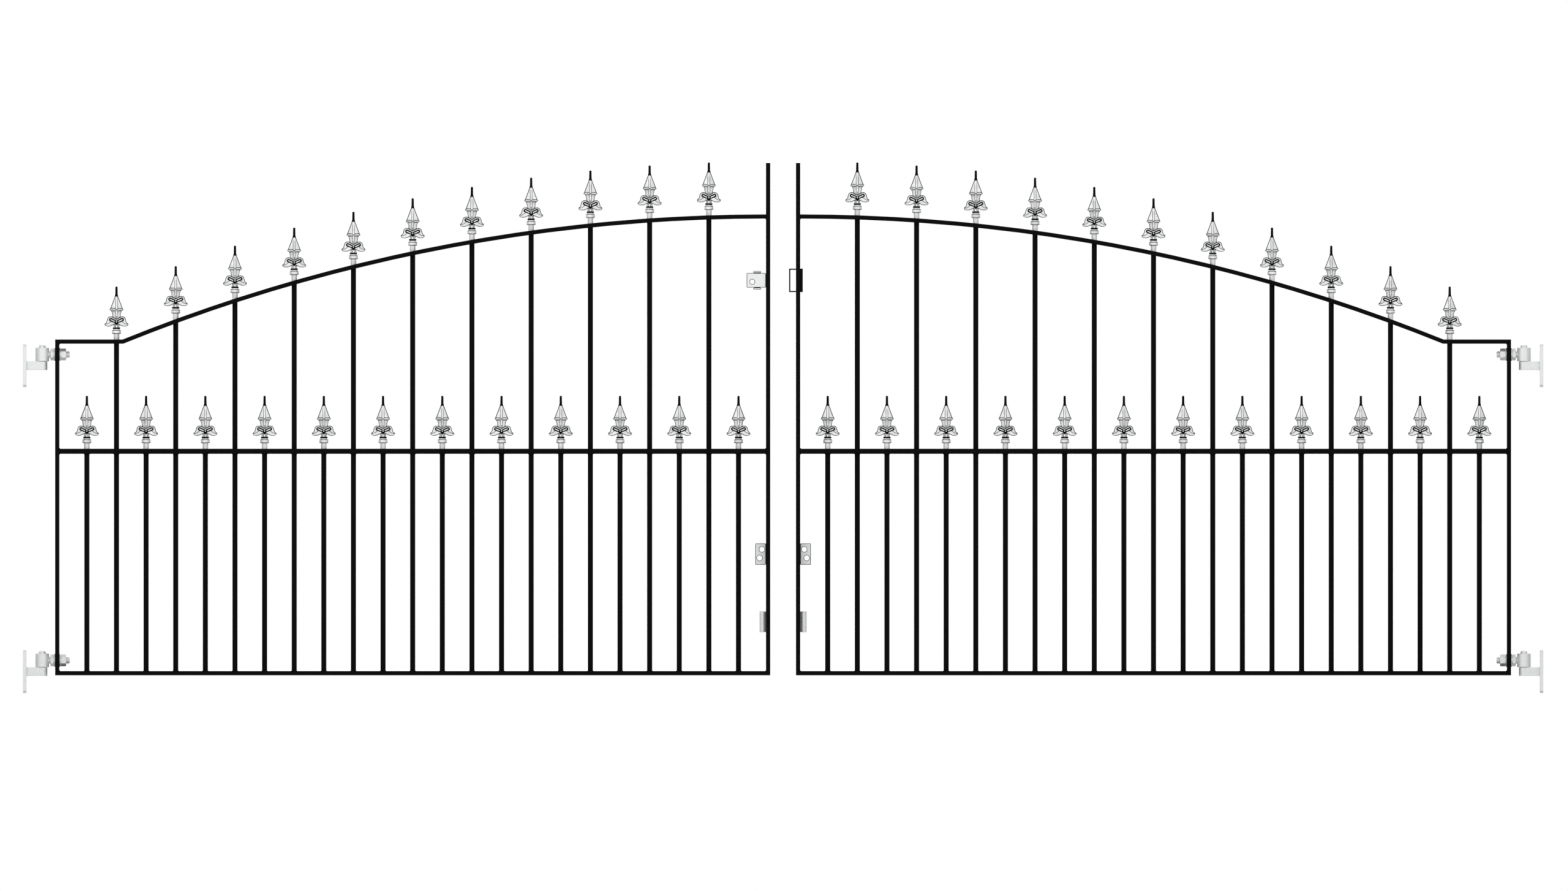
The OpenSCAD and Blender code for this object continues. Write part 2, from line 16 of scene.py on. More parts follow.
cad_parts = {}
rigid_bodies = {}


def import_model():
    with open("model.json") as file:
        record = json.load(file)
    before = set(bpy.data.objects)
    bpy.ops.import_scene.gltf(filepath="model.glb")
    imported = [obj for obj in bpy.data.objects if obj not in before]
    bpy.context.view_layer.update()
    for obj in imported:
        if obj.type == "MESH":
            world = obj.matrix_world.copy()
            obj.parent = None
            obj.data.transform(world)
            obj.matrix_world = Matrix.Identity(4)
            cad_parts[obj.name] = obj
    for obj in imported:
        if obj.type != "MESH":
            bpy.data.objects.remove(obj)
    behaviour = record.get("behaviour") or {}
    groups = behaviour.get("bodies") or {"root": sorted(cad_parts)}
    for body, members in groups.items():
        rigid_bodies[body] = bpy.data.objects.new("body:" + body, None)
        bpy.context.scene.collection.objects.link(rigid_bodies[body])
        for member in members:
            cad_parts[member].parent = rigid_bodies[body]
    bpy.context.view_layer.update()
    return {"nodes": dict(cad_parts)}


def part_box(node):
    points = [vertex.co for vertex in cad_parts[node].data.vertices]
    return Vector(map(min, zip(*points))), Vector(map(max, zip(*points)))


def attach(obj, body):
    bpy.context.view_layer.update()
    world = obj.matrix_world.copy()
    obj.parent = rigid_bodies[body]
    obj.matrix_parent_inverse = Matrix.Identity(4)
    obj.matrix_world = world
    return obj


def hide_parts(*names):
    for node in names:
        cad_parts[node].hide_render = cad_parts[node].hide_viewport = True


for leftover in list(bpy.data.objects):
    bpy.data.objects.remove(leftover)
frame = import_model()
nodes = frame["nodes"]
bpy.ops.object.select_all(action="DESELECT")

# %% [markdown]
# The camera
#
# The picture to match is square to the gates and has no perspective: both leaves are the same size
# and every bar is upright. An orthographic camera gives that. A very long lens from far away would
# come close, but it would still show a little of the sides of the outer stiles.

# %% Camera
MM = 0.001
VIEW_WIDTH = 3661.6 * MM
VIEW_MIDDLE = Vector((1777.1, 0, 527.8)) * MM
CAMERA_AWAY = 6000 * MM

camera_data = bpy.data.cameras.new("front_camera")
camera_data.type = "ORTHO"
camera_data.ortho_scale = VIEW_WIDTH
camera = bpy.data.objects.new("front_camera", camera_data)
camera.location = VIEW_MIDDLE + Vector((0, -CAMERA_AWAY, 0))
camera.rotation_euler = (math.radians(90), 0, 0)
bpy.context.scene.collection.objects.link(camera)
bpy.context.scene.camera = camera
bpy.context.scene.view_settings.view_transform = "Standard"
print("camera at", tuple(round(v, 3) for v in camera.location))

# %% [markdown]
# Colours and nodes
#
# Colours are written as sRGB hex values, as a paint chart gives them, and Blender's shaders want
# linear values, so one function turns the first into the second. A second function adds a shader
# node, sets it up and links it, which keeps each material readable as a list of what it is made of.
# Two short ones start a material and fill in the stops of a colour ramp.

# %% Helpers for colours and nodes
def linear_colour(code):
    """Linear RGBA of an sRGB hex value such as #16171a."""
    shares = [int(code[i:i + 2], 16) / 255 for i in (1, 3, 5)]
    linear = [s / 12.92 if s <= 0.04045 else ((s + 0.055) / 1.055) ** 2.4 for s in shares]
    return (*linear, 1.0)


def add_node(tree, kind, inputs, **settings):
    """Adds a node. Inputs are values or sockets to link, and settings are the node's own properties."""
    node = tree.nodes.new(kind)
    for name, value in settings.items():
        setattr(node, name, value)
    for name, value in inputs.items():
        if isinstance(value, bpy.types.NodeSocket):
            tree.links.new(value, node.inputs[name])
        else:
            node.inputs[name].default_value = value
    return node


def per_metre(size_mm):
    """Texture scale at which one feature of a pattern measures that many millimetres."""
    return 1.0 / (size_mm * MM)


def start_material(name):
    """A new material with its node tree and its shader."""
    material = bpy.data.materials.new(name)
    material.use_nodes = True
    return material, material.node_tree, material.node_tree.nodes["Principled BSDF"]


def set_stops(ramp, *stops):
    """Gives each stop of a colour ramp its position and its sRGB colour."""
    for stop, (position, code) in zip(ramp.color_ramp.elements, stops):
        stop.position = position
        stop.color = linear_colour(code)


print("check: mid grey is", round(linear_colour("#808080")[0], 3), "in linear light")

# %% [markdown]
# Studio
#
# The gates stand in front of plain white. The white is what the camera, and a mirror-like surface,
# sees of the world; as a light the world is weaker, and four soft lamps do the rest. That way the
# background is white without any more light falling on the gates. The floor is a plain pale plane,
# as far under the gates as a driveway is.

# %% World, floor and lamps
AMBIENT = 0.6
FLOOR_GAP = 50 * MM
FLOOR_SIZE = 24000 * MM

world = bpy.data.worlds.new("white_studio")
world.use_nodes = True
bpy.context.scene.world = world
tree = world.node_tree
path = add_node(tree, "ShaderNodeLightPath", {})
seen = add_node(tree, "ShaderNodeMath", {0: path.outputs["Is Camera Ray"], 1: path.outputs["Is Glossy Ray"]},
                operation="MAXIMUM")
seen = add_node(tree, "ShaderNodeMath", {0: seen.outputs[0], 1: path.outputs["Is Transmission Ray"]},
                operation="MAXIMUM")
strength = add_node(tree, "ShaderNodeMath", {0: seen.outputs[0], 1: 1 - AMBIENT, 2: AMBIENT},
                    operation="MULTIPLY_ADD")
background = tree.nodes["Background"]
background.inputs["Color"].default_value = (1, 1, 1, 1)
tree.links.new(strength.outputs[0], background.inputs["Strength"])

floor_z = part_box("left_bottom_rail")[0].z - FLOOR_GAP
bpy.ops.mesh.primitive_plane_add(size=FLOOR_SIZE, location=(VIEW_MIDDLE.x, 0, floor_z))
floor = bpy.context.object
floor.name = "studio_floor"
floor_paint, _, floor_shader = start_material("matt_white_floor_paint")
floor_shader.inputs["Base Color"].default_value = linear_colour("#f1f1ef")
floor_shader.inputs["Roughness"].default_value = 0.9
floor.data.materials.append(floor_paint)

# Place and size in metres, then watts
LAMPS = {
    "key_softbox": ((-1.6, -4.2, 2.2), 3.0, 50),
    "fill_softbox": ((5.6, -4.4, 2.2), 3.0, 42),
    "front_softbox": ((1.8, -5.2, 0.5), 3.0, 34),
    "rear_softbox": ((1.8, 3.6, 3.6), 3.5, 36),
}
for name, (spot, size, watts) in LAMPS.items():
    lamp_data = bpy.data.lights.new(name, "AREA")
    lamp_data.size = size
    lamp_data.energy = watts
    lamp = bpy.data.objects.new(name, lamp_data)
    lamp.location = spot
    lamp.rotation_euler = (VIEW_MIDDLE - Vector(spot)).to_track_quat("-Z", "Y").to_euler()
    lamp.visible_camera = False
    bpy.context.scene.collection.objects.link(lamp)
print("floor at", round(floor_z, 4), "lamps", list(LAMPS))

# %% [markdown]
# Black powder coat
#
# The iron is coated with polyester powder that is baked on. The coat is near black with a satin
# gloss, and it dries in very shallow waves a few millimetres wide, the orange peel. A flat black
# would look cut out of paper, so the colour drifts a little, the gloss varies, fine waves go into
# the bump, and dust lies on what faces up. A real coat mirrors more than this one. With white on
# every side that would turn it grey, so its specular level is turned down to match the picture.

# %% Material: satin black powder coat
PEEL_SIZE = 2.5
PEEL_DEEP = 0.15
PATCH_SIZE = 70
PATCH_SHARE = 0.6
DUST_STARTS = 0.8
DUST_SHARE = 0.6
BLACK_SPECULAR = 0.04

powder_coat, tree, shader = start_material("satin_black_powder_coat")
place = add_node(tree, "ShaderNodeTexCoord", {}).outputs["Object"]
patches = add_node(tree, "ShaderNodeTexNoise",
                   {"Vector": place, "Scale": per_metre(PATCH_SIZE), "Detail": 4.0}).outputs["Fac"]
facing = add_node(tree, "ShaderNodeNewGeometry", {}).outputs["Normal"]
upward = add_node(tree, "ShaderNodeSeparateXYZ", {"Vector": facing}).outputs["Z"]
dust = add_node(tree, "ShaderNodeMapRange",
                {"Value": upward, "From Min": DUST_STARTS, "From Max": 1.0, "To Max": DUST_SHARE})
shade = add_node(tree, "ShaderNodeMath", {0: patches, 1: PATCH_SHARE, 2: dust.outputs["Result"]},
                 operation="MULTIPLY_ADD")
coat_ramp = add_node(tree, "ShaderNodeValToRGB", {"Fac": shade.outputs[0]})
set_stops(coat_ramp, (0.15, "#030304"), (1.0, "#0e0e0f"))
gloss = add_node(tree, "ShaderNodeMapRange", {"Value": patches, "To Min": 0.36, "To Max": 0.56})
peel = add_node(tree, "ShaderNodeTexNoise",
                {"Vector": place, "Scale": per_metre(PEEL_SIZE), "Detail": 2.0})
waves = add_node(tree, "ShaderNodeBump",
                 {"Height": peel.outputs["Fac"], "Strength": 0.2, "Distance": PEEL_DEEP * MM})
tree.links.new(coat_ramp.outputs["Color"], shader.inputs["Base Color"])
tree.links.new(gloss.outputs["Result"], shader.inputs["Roughness"])
tree.links.new(waves.outputs["Normal"], shader.inputs["Normal"])
shader.inputs["Specular IOR Level"].default_value = BLACK_SPECULAR
print("made", powder_coat.name)

# %% [markdown]
# Silver paint and the black under it
#
# The castings are dipped black first, and then silver paint is wiped over what stands proud. The
# black stays in the grooves and shows again along the edges, where the silver rubs off. So there
# are two materials, given to different faces: a pale paint with flake in it on the flats, which
# makes it partly metallic, and a duller black on rims and hollows. Both show the grain of the sand
# mould, drawn about three times as coarse as real sand so that it shows at all.

# %% Materials: silver paint and black base coat on cast iron
SAND_SIZE = 0.9
SAND_DEEP = 0.12
WIPE_SIZE = 14
PALE_METALLIC = 0.35

silver_paint, tree, shader = start_material("silver_paint_on_cast_iron")
place = add_node(tree, "ShaderNodeTexCoord", {}).outputs["Object"]
wiping = add_node(tree, "ShaderNodeTexNoise",
                  {"Vector": place, "Scale": per_metre(WIPE_SIZE), "Detail": 5.0}).outputs["Fac"]
silver_ramp = add_node(tree, "ShaderNodeValToRGB", {"Fac": wiping})
set_stops(silver_ramp, (0.3, "#cfd1d3"), (0.65, "#eceded"))
gloss = add_node(tree, "ShaderNodeMapRange", {"Value": wiping, "To Min": 0.36, "To Max": 0.54})
sand = add_node(tree, "ShaderNodeTexNoise",
                {"Vector": place, "Scale": per_metre(SAND_SIZE), "Detail": 3.0}).outputs["Fac"]
grain = add_node(tree, "ShaderNodeBump", {"Height": sand, "Strength": 0.25, "Distance": SAND_DEEP * MM})
tree.links.new(silver_ramp.outputs["Color"], shader.inputs["Base Color"])
tree.links.new(gloss.outputs["Result"], shader.inputs["Roughness"])
tree.links.new(grain.outputs["Normal"], shader.inputs["Normal"])
shader.inputs["Metallic"].default_value = PALE_METALLIC

base_coat, tree, shader = start_material("black_base_coat_on_cast_iron")
place = add_node(tree, "ShaderNodeTexCoord", {}).outputs["Object"]
sand = add_node(tree, "ShaderNodeTexNoise",
                {"Vector": place, "Scale": per_metre(SAND_SIZE), "Detail": 3.0}).outputs["Fac"]
base_ramp = add_node(tree, "ShaderNodeValToRGB", {"Fac": sand})
set_stops(base_ramp, (0.0, "#030304"), (1.0, "#0d0d0e"))
grain = add_node(tree, "ShaderNodeBump", {"Height": sand, "Strength": 0.3, "Distance": SAND_DEEP * MM})
tree.links.new(base_ramp.outputs["Color"], shader.inputs["Base Color"])
tree.links.new(grain.outputs["Normal"], shader.inputs["Normal"])
shader.inputs["Roughness"].default_value = 0.6
shader.inputs["Specular IOR Level"].default_value = BLACK_SPECULAR
print("made", silver_paint.name, "and", base_coat.name)

# %% [markdown]
# Zinc plate
#
# The lock, the drop bolt fittings and the hinges are steel with a bright zinc plate. Zinc is a pale
# grey metal, and under its gloss there are crystals a few millimetres wide that each catch the
# light a little differently. A cell pattern gives those, and drives both the colour and the gloss.
# A full metal would mirror the dark bars. This plate is only partly metallic, so that it stays as
# pale all over as it is in the picture.

# %% Material: bright zinc plate
CRYSTAL_SIZE = 3

zinc_plate, tree, shader = start_material("bright_zinc_plate_on_steel")
place = add_node(tree, "ShaderNodeTexCoord", {}).outputs["Object"]
crystals = add_node(tree, "ShaderNodeTexVoronoi", {"Vector": place, "Scale": per_metre(CRYSTAL_SIZE)})
tone = add_node(tree, "ShaderNodeSeparateColor", {"Color": crystals.outputs["Color"]}).outputs["Red"]
zinc_ramp = add_node(tree, "ShaderNodeValToRGB", {"Fac": tone})
set_stops(zinc_ramp, (0.0, "#d9dbdc"), (1.0, "#e2e4e4"))
gloss = add_node(tree, "ShaderNodeMapRange", {"Value": tone, "To Min": 0.34, "To Max": 0.48})
tree.links.new(zinc_ramp.outputs["Color"], shader.inputs["Base Color"])
tree.links.new(gloss.outputs["Result"], shader.inputs["Roughness"])
shader.inputs["Metallic"].default_value = PALE_METALLIC
print("made", zinc_plate.name)

# %% [markdown]
# Ways of selecting
#
# Modelling with operators is selecting and then doing. In a window you click on what you want; in a
# script you say what you want by its place or the way it faces. One function does that for faces,
# edges and points alike. Another extrudes the selected cap of a shape upwards from ring to ring,
# which is how a turned or drawn-out form grows out of a flat outline. The rest open a new primitive
# for modelling, paint what is selected, and close the piece again. Sizes are written in millimetres
# from here on, and a W is half a width.

# %% Helpers for modelling
FINISH = (silver_paint, base_coat)
TOLERANCE = 0.01 * MM


def pick(piece, kind, wanted):
    """In edit mode, selects just the faces, edges or points for which the test is true."""
    bpy.ops.mesh.select_mode(type=kind)
    bpy.ops.mesh.select_all(action="DESELECT")
    shape = bmesh.from_edit_mesh(piece.data)
    shape.normal_update()
    elements = {"FACE": shape.faces, "EDGE": shape.edges, "VERT": shape.verts}[kind]
    for element in elements:
        if wanted(element):
            element.select_set(True)
    shape.select_flush_mode()
    bmesh.update_edit_mesh(piece.data)


def paint(piece, material):
    """In edit mode, gives the selected faces that material."""
    piece.active_material_index = piece.data.materials.find(material.name)
    bpy.ops.object.material_slot_assign()


def raise_rings(rings):
    """Extrudes the selected cap from ring to ring, each a height and a half width in mm."""
    for (z0, w0), (z1, w1) in zip(rings, rings[1:]):
        bpy.ops.mesh.extrude_region_move(TRANSFORM_OT_translate={"value": (0, 0, (z1 - z0) * MM)})
        bpy.ops.transform.resize(value=(w1 / w0, w1 / w0, 1), center_override=(0, 0, 0))


def begin(name, *materials):
    """Names the primitive just added, gives it its materials and opens it with all of it selected."""
    piece = bpy.context.object
    piece.name = name
    piece.data.name = name
    for material in materials:
        piece.data.materials.append(material)
    bpy.ops.object.mode_set(mode="EDIT")
    bpy.ops.mesh.select_mode(type="VERT")
    bpy.ops.mesh.select_all(action="SELECT")
    return piece


def close(piece):
    """Merges doubles, turns the faces outwards and leaves edit mode."""
    bpy.ops.mesh.select_all(action="SELECT")
    bpy.ops.mesh.remove_doubles(threshold=TOLERANCE)
    bpy.ops.mesh.normals_make_consistent(inside=False)
    bpy.ops.object.mode_set(mode="OBJECT")
    print(piece.name, "has", len(piece.data.polygons), "faces")


def is_at(value, *places):
    """Is a length in metres at one of these places in mm?"""
    return any(abs(value - p * MM) < TOLERANCE for p in places)


print("castings are finished in", [material.name for material in FINISH])

# %% [markdown]
# Neck, collar and plinth of the casting
#
# Each finial is a casting with a round neck that sits on the end of a bar, then a collar, then a
# flare and a thin plinth. A lathe would turn it, and so could a profile with Spin. Here a disc is
# extruded up from ring to ring, because every step is then one length and one width that can be
# read off the drawing. The edges of the collar are bevelled, and its bevels and the plinth stay black.

# %% Model the base of the finial
NECK_SPARE = 8
NECK_W = 6.6
COLLAR_W = 10.5
PLINTH_W = 8.7
BASE_SIDES = 32
COLLAR_Z = (13.0, 21.3)
PLINTH_Z = (24.6, 28.0)
FLARE_W = (9.4, 7.4)
BASE_RINGS = [
    (-NECK_SPARE, NECK_W), (COLLAR_Z[0], NECK_W), (COLLAR_Z[0], COLLAR_W), (COLLAR_Z[1], COLLAR_W),
    (COLLAR_Z[1], FLARE_W[0]), (PLINTH_Z[0], FLARE_W[1]), (PLINTH_Z[0], PLINTH_W), (PLINTH_Z[1], PLINTH_W),
]
COLLAR_BEVEL = 1.3
PLINTH_BEVEL = 0.8
NEAR_RIM = 0.95


def is_rim(edge, levels, half_width):
    """Does an edge run round a shape of that half width at one of these heights, all in mm?"""
    start, end = (v.co for v in edge.verts)
    level = is_at(start.z, *levels) and is_at(end.z, *levels) and abs(start.z - end.z) < MM
    return level and ((start + end) / 2).xy.length > NEAR_RIM * half_width * MM


bpy.ops.mesh.primitive_circle_add(vertices=BASE_SIDES, radius=NECK_W * MM, fill_type="NGON")
base = begin("finial_base", *FINISH)
bpy.ops.transform.translate(value=(0, 0, -NECK_SPARE * MM))
raise_rings(BASE_RINGS)
pick(base, "EDGE", lambda e: is_rim(e, COLLAR_Z, COLLAR_W))
bpy.ops.mesh.bevel(offset=COLLAR_BEVEL * MM, segments=2, material=FINISH.index(base_coat))
pick(base, "EDGE", lambda e: is_rim(e, PLINTH_Z, PLINTH_W))
bpy.ops.mesh.bevel(offset=PLINTH_BEVEL * MM, segments=1, material=FINISH.index(base_coat))
pick(base, "FACE", lambda f: f.calc_center_median().z > PLINTH_Z[0] * MM - TOLERANCE)
paint(base, base_coat)
close(base)

# %% [markdown]
# Fluted stem
#
# Over the plinth the casting narrows to a short stem with eight flutes. The flutes are cut into a
# cylinder: every fourth of its flat sides is pushed in. A Boolean with thin rods would do the same,
# but pushing faces in keeps the mesh simple, and the pushed faces are easy to leave black.

# %% Model the stem
STEM_W = 6.7
STEM_Z = (27.0, 39.0)
STEM_SIDES = 32
FLUTES = 8
FLUTE_DEEP = 1.3
TURN_SLACK = 2
EDGE_ON = 0.5

bpy.ops.mesh.primitive_cylinder_add(
    vertices=STEM_SIDES, radius=STEM_W * MM, depth=(STEM_Z[1] - STEM_Z[0]) * MM,
    location=(0, 0, sum(STEM_Z) / 2 * MM), rotation=(0, 0, math.radians(180 / STEM_SIDES)))
bpy.ops.object.transform_apply(location=True, rotation=True, scale=True)
stem = begin("finial_stem", *FINISH)


def is_flute(face):
    """Is this one of the upright sides that a flute goes into?"""
    turn = math.degrees(math.atan2(face.normal.x, -face.normal.y)) % (360 / FLUTES)
    return abs(face.normal.z) < EDGE_ON and abs(turn - 180 / FLUTES) < TURN_SLACK


pick(stem, "FACE", is_flute)
paint(stem, base_coat)
bpy.ops.mesh.extrude_faces_move(TRANSFORM_OT_shrink_fatten={"value": -FLUTE_DEEP * MM})
close(stem)

# %% [markdown]
# Drooping leaves
#
# Two broad leaves curl out of the stem, droop and end in blunt tips. Each is a strip: an edge across
# the leaf is extruded from the stem to the tip, and at every step its two ends go to the leaf's
# lower and upper outline. Mirror makes the second leaf, Solidify gives the pair its thickness, and
# the far ends are then thinned. The outlines are smooth curves with a few handles each.

# %% Helpers for the leaves
FLAT_ON = 0.8


def curve(p, steps):
    """Points along a cubic curve from p[0] to p[3] with the handles p[1] and p[2], without its start."""
    points = []
    for i in range(1, steps + 1):
        t = i / steps
        shares = ((1 - t) ** 3, 3 * t * (1 - t) ** 2, 3 * t * t * (1 - t), t ** 3)
        points.append(sum((Vector(q) * s for q, s in zip(p, shares)), Vector((0, 0))))
    return points


def move_point(piece, index, goal):
    """In edit mode, moves one point to a place in metres."""
    shape = bmesh.from_edit_mesh(piece.data)
    shape.verts.ensure_lookup_table()
    start = shape.verts[index].co.copy()
    pick(piece, "VERT", lambda v: v.index == index)
    bpy.ops.transform.translate(value=goal - start)


def apply(piece, kind, **settings):
    """Adds a modifier with those settings and applies it."""
    modifier = piece.modifiers.new(kind.title(), kind)
    for setting, value in settings.items():
        setattr(modifier, setting, value)
    bpy.context.view_layer.objects.active = piece
    bpy.ops.object.modifier_apply(modifier=modifier.name)


def round_over(piece, wanted, radius, steps=4):
    """Rounds the edge of flat caps over, insetting them outwards along a quarter circle of that many mm."""
    pick(piece, "FACE", wanted)
    turns = [math.pi / 2 * i / steps for i in range(steps + 1)]
    for start, end in zip(turns, turns[1:]):
        inward = radius * (math.cos(start) - math.cos(end))
        outward = radius * (math.sin(end) - math.sin(start))
        bpy.ops.mesh.inset(thickness=inward * MM, depth=outward * MM)


def leaf_pair(name, lower, upper, depths, radius):
    """Two mirrored leaves between two outlines, in mm, with a depth at the stem and one at the tips."""
    depth, tip_depth = depths
    bpy.ops.mesh.primitive_plane_add(size=MM)
    piece = begin(name, *FINISH)
    pick(piece, "VERT", lambda v: v.co.x > 0)
    bpy.ops.mesh.delete(type="VERT")
    shape = bmesh.from_edit_mesh(piece.data)
    order = [v.index for v in sorted(shape.verts, key=lambda v: v.co.y)]
    for step, goals in enumerate(zip(lower, upper)):
        if step:
            bpy.ops.mesh.select_mode(type="EDGE")
            bpy.ops.mesh.extrude_region_move()
            shape = bmesh.from_edit_mesh(piece.data)
            order = sorted(v.index for v in shape.verts if v.select)
        shape.verts.ensure_lookup_table()
        if step and (shape.verts[order[0]].co - Vector((last.x, 0, last.y)) * MM).length > TOLERANCE:
            order.reverse()
        for index, goal in zip(order, goals):
            move_point(piece, index, Vector((goal.x, 0, goal.y)) * MM)
        pick(piece, "VERT", lambda v: v.index in order)
        last = goals[0]
    close(piece)
    apply(piece, "MIRROR", use_clip=True, merge_threshold=TOLERANCE)
    apply(piece, "SOLIDIFY", thickness=depth * MM, offset=0)
    bpy.ops.object.mode_set(mode="EDIT")
    reach = lower[-1].x
    for x in sorted({round(p.x, 4) for p in (*lower, *upper) if p.x > STEM_W}):
        thin = 1 - (1 - tip_depth / depth) * (x - STEM_W) / (reach - STEM_W)
        pick(piece, "VERT", lambda v: is_at(abs(v.co.x), x))
        bpy.ops.transform.resize(value=(1, thin, 1), center_override=(0, 0, 0))
    pick(piece, "FACE", lambda f: abs(f.normal.y) < EDGE_ON)
    paint(piece, base_coat)
    for deep in (-1, 1):
        pick(piece, "FACE", lambda f: f.normal.y * deep > FLAT_ON)
        paint(piece, base_coat)
        round_over(piece, lambda f: f.normal.y * deep > FLAT_ON, radius)
        paint(piece, silver_paint)
    close(piece)
    return piece


straight = curve([(0, 0), (1, 1), (2, 2), (3, 3)], 2)
print("check: a straight curve has its middle at", tuple(straight[0]))

# %% Model the leaves
LEAF_REACH = 28.2
LEAF_TIP_Z = 35.8
LEAF_RISE = 18
LEAF_ROOT = Vector((3.35, 36.5))
LEAF_LOW = 30.4
LEAF_DEPTHS = (7.4, 0.8)
LEAF_ROUND = 1.8


def on_leaf(across, up):
    """Point at a share of the leaf's reach and of its rise from tip to crest."""
    return Vector((across * LEAF_REACH, LEAF_TIP_Z + up * LEAF_RISE))


# Each curve is a start, two handles and an end, and then a number of steps
belly = Vector((0.64 * LEAF_REACH, LEAF_LOW))
underside = [Vector((0, LEAF_ROOT.y)), LEAF_ROOT]
underside += curve([LEAF_ROOT, (0.3 * LEAF_REACH, 33.1), (0.45 * LEAF_REACH, LEAF_LOW), belly], 12)
underside += curve([belly, (0.8 * LEAF_REACH, LEAF_LOW), (0.95 * LEAF_REACH, 31.0), on_leaf(0.985, -0.1)], 5)
back, brow, dip = on_leaf(0.78, 0.56), on_leaf(0.4, 0.99), on_leaf(0, 0.67)
crest = [dip]
crest += curve([dip, on_leaf(0.12, 0.72), on_leaf(0.28, 0.96), brow], 6)
crest += curve([brow, on_leaf(0.6, 1.05), on_leaf(0.75, 0.89), back], 9)
crest += curve([back, on_leaf(0.8, 0.27), on_leaf(0.87, 0.1), on_leaf(0.975, 0.06)], 3)
leaves = leaf_pair("finial_leaves", underside, crest, LEAF_DEPTHS, LEAF_ROUND)

# %% [markdown]
# Folded lip of the leaves
#
# The lower half of each leaf is folded forward, and the fold runs back from the tip to the rolled
# petals. It is a second, thicker pair of leaves inside the same lower outline, made by the same
# function, so that both stay in step when an outline is changed.

# %% Model the folds
FOLD_TOP = 43.6
FOLD_DEPTHS = (11.6, 3.0)
FOLD_ROUND = 1.3

fold_edge = [Vector((x, FOLD_TOP)) for x in (0, 5, 9)]
fold_edge += curve([on_leaf(0.4, 0.48), on_leaf(0.55, 0.2), on_leaf(0.72, -0.02), on_leaf(0.98, 0.02)], 16)
folds = leaf_pair("finial_folds", underside, fold_edge, FOLD_DEPTHS, FOLD_ROUND)

# %% [markdown]
# Rolled petals
#
# Over the leaves lie two petals rolled up into short bars, like a bow. One is a cylinder whose right
# half is moved away from its left, which leaves a bar with round ends. Its front and back edges are
# rounded over widely and stay black, so only a narrow pale stripe is left down the middle.

# %% Model the rolled petals
PETAL_W = 4.2
PETAL_SIDES = 24
PETAL_REACH = 19
PETAL_START = 1.2
PETAL_DEPTH = 16.4
PETAL_SLOPE = 25
PETAL_ROOT_Z = 40
PETAL_ROUND = 3.1


def settle(piece, place=(0, 0, 0), turn=(0, 0, 0)):
    """Turns an object by degrees, moves it by mm and writes both into its mesh."""
    piece.rotation_euler = [math.radians(t) for t in turn]
    piece.location = Vector(place) * MM
    bpy.ops.object.select_all(action="DESELECT")
    piece.select_set(True)
    bpy.context.view_layer.objects.active = piece
    bpy.ops.object.transform_apply(location=True, rotation=True, scale=True)


petal_flat = PETAL_DEPTH - 2 * PETAL_ROUND
bpy.ops.mesh.primitive_cylinder_add(vertices=PETAL_SIDES, radius=PETAL_W * MM, depth=petal_flat * MM)
petals = bpy.context.object
settle(petals, turn=(90, 0, 0))
begin("finial_petals", *FINISH)
pick(petals, "VERT", lambda v: v.co.x > TOLERANCE)
bpy.ops.transform.translate(value=((PETAL_REACH - PETAL_START - 2 * PETAL_W) * MM, 0, 0))
bpy.ops.mesh.select_all(action="SELECT")
bpy.ops.transform.translate(value=((PETAL_START + PETAL_W) * MM, 0, 0))
paint(petals, base_coat)
round_over(petals, lambda f: abs(f.normal.y) > FLAT_ON, PETAL_ROUND)
paint(petals, silver_paint)
close(petals)
settle(petals, place=(0, 0, PETAL_ROOT_Z), turn=(0, -PETAL_SLOPE, 0))
apply(petals, "MIRROR")

# %% [markdown]
# Knot between the petals
#
# Where the petals meet there is a small round boss with a pointed tail that runs down the stem, and
# both are nearly all black. The boss is a short cylinder with rounded edges, and the tail is a
# three-sided one, stood on its point and drawn out.

# %% Model the knot and its tail
KNOT_W = 3.1
KNOT_Z = 41.2
KNOT_DEPTH = 17.4
KNOT_ROUND = 1.7
TAIL_W = 6.4
TAIL_Z = (32.6, 41.0)
TAIL_DEPTH = 15.4
TAIL_ROUND = 0.9

knot_flat = KNOT_DEPTH - 2 * KNOT_ROUND
bpy.ops.mesh.primitive_cylinder_add(vertices=PETAL_SIDES, radius=KNOT_W * MM, depth=knot_flat * MM)
knot = bpy.context.object
settle(knot, place=(0, 0, KNOT_Z), turn=(90, 0, 0))
begin("finial_knot", *FINISH)
paint(knot, base_coat)
round_over(knot, lambda f: abs(f.normal.y) > FLAT_ON, KNOT_ROUND)
paint(knot, silver_paint)
close(knot)

bpy.ops.mesh.primitive_cylinder_add(vertices=3, radius=MM, depth=(TAIL_DEPTH - 2 * TAIL_ROUND) * MM)
tail = bpy.context.object
settle(tail, turn=(-90, 0, 0))
begin("finial_tail", *FINISH)
corners = bmesh.from_edit_mesh(tail.data).verts
lowest, highest = (edge(v.co.z for v in corners) for edge in (min, max))
widest = max(v.co.x for v in corners)
tall = (TAIL_Z[1] - TAIL_Z[0]) * MM / (highest - lowest)
bpy.ops.transform.resize(value=(TAIL_W * MM / widest, 1, tall), center_override=(0, 0, 0))
bpy.ops.transform.translate(value=(0, 0, TAIL_Z[0] * MM - lowest * tall))
paint(tail, base_coat)
round_over(tail, lambda f: abs(f.normal.y) > FLAT_ON, TAIL_ROUND, steps=2)
close(tail)

